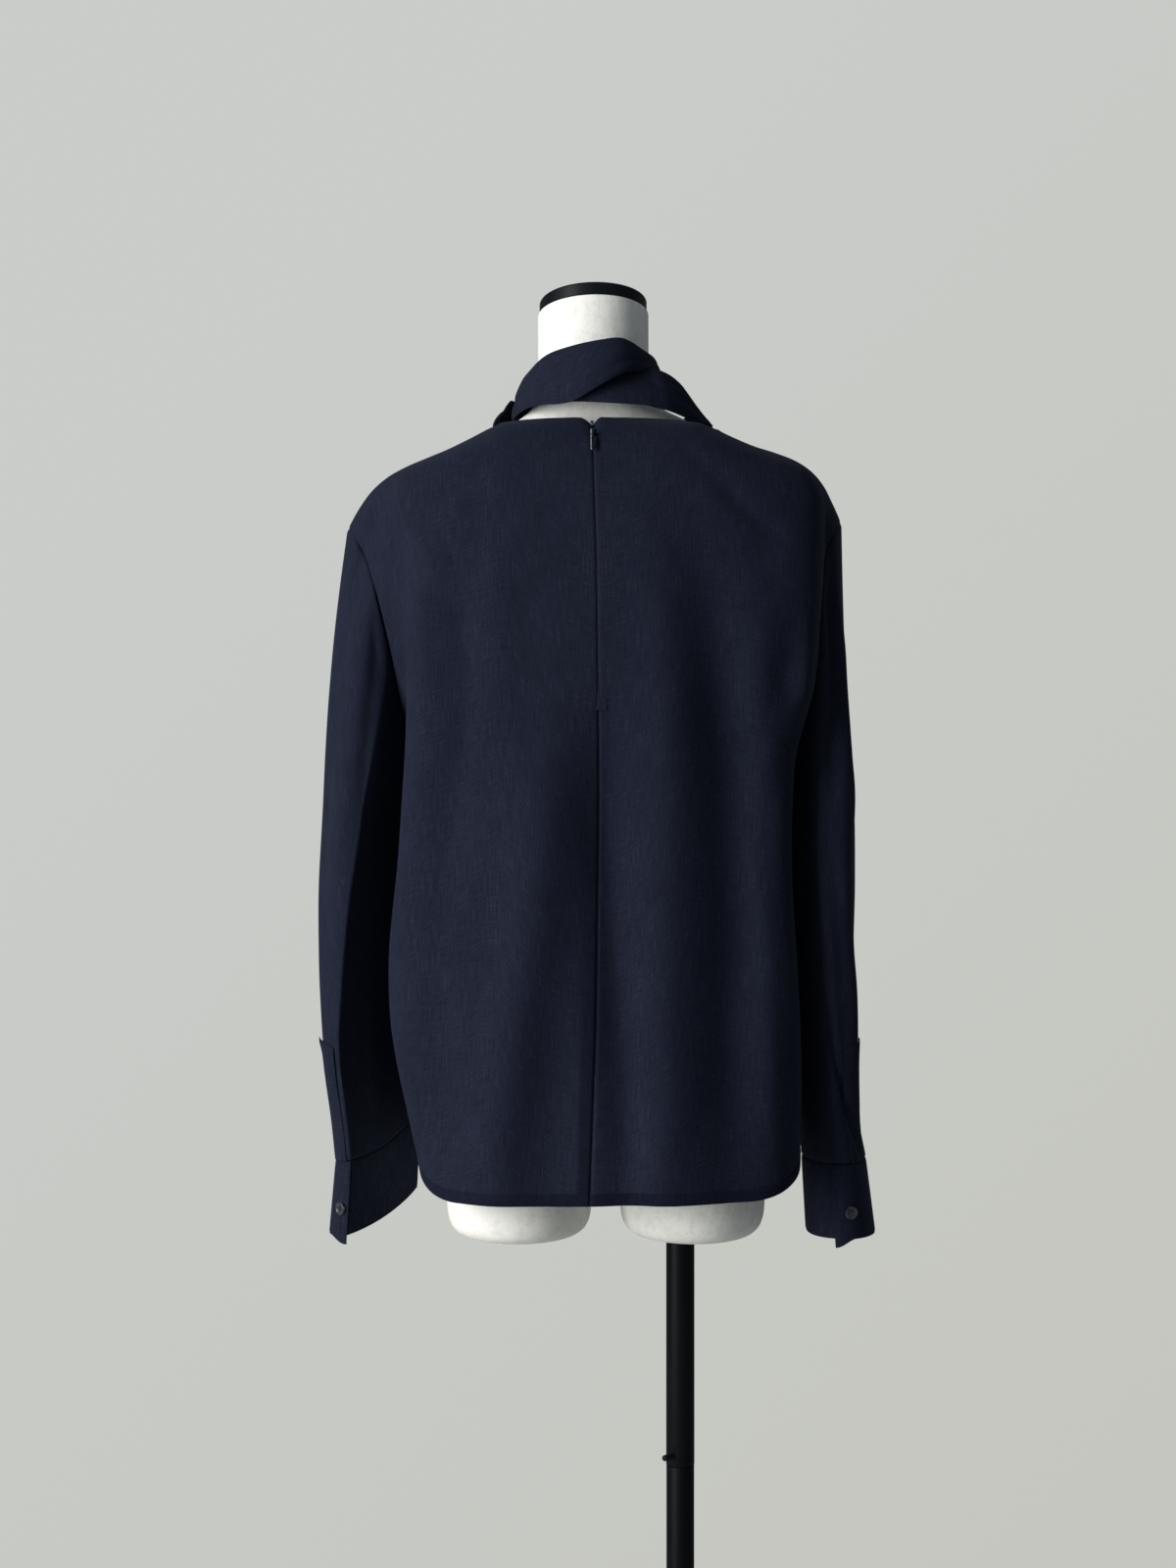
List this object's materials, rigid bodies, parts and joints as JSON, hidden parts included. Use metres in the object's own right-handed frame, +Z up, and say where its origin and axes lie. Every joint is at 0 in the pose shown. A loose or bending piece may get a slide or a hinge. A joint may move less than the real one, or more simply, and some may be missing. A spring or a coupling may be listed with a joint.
{
  "type": "tie-neck blouse on a dress form",
  "caption": "Long-sleeved tie-neck blouse with a back zip, shown on an armless jersey dress form that stands on a single pole and a round foot.",
  "frame": {"origin": "centre of the base plate's flat underside, where it stands on the floor", "axes": "+Z up; +Y out of the blouse's front; -Y out of its back; +X to the right of someone who looks at its back"},
  "size_m": [0.4855, 0.33, 1.5804],
  "materials": {
    "navy_crepe": "matt woven crepe with a fine upright slub, almost black navy",
    "zip_metal": "navy lacquer worn to bare metal on the edges",
    "button_plastic": "polished, marbled dark navy",
    "white_jersey": "smooth stretched knit, off-white",
    "black_satin": "satin black powder coat",
    "black_screw": "blackened steel"
  },
  "bodies": {
    "stand": {"base_plate": "black_satin", "base_collar": "black_satin", "pole_lower": "black_satin"},
    "form": {"back_left": "navy_crepe", "back_right": "navy_crepe", "front": "navy_crepe", "sleeve_left": "navy_crepe", "sleeve_right": "navy_crepe", "placket_left": "navy_crepe", "placket_right": "navy_crepe", "cuff_left": "navy_crepe", "cuff_right": "navy_crepe", "tie_band_front": "navy_crepe", "tie_wrap_inner": "navy_crepe", "tie_wrap_outer": "navy_crepe", "tie_knot": "navy_crepe", "tie_tail_left": "navy_crepe", "tie_tail_right": "navy_crepe", "zip_tape": "navy_crepe", "zip_slider": "zip_metal", "button_left": "button_plastic", "button_right": "button_plastic", "form_torso": "white_jersey", "neck_cap": "black_satin", "pole_upper": "black_satin"},
    "lock_screw": {"lock_screw": "black_screw"},
    "zip_pull": {"zip_pull": "zip_metal"}
  },
  "joints": [
    {"name": "height_slide", "type": "slide", "parent": "stand", "child": "form", "axis": [0, 0, 1], "range_m": [0, 0.12]},
    {"name": "lock_turn", "type": "hinge", "parent": "form", "child": "lock_screw", "pos_m": [0.076, 0, 0.5635], "axis": [-0.6157, -0.788, 0], "range_deg": [0, 360]},
    {"name": "zip_swing", "type": "hinge", "parent": "form", "child": "zip_pull", "pos_m": [-0.00097, -0.09097, 1.44453], "axis": [-1, 0, 0], "range_deg": [0, 150]}
  ]
}
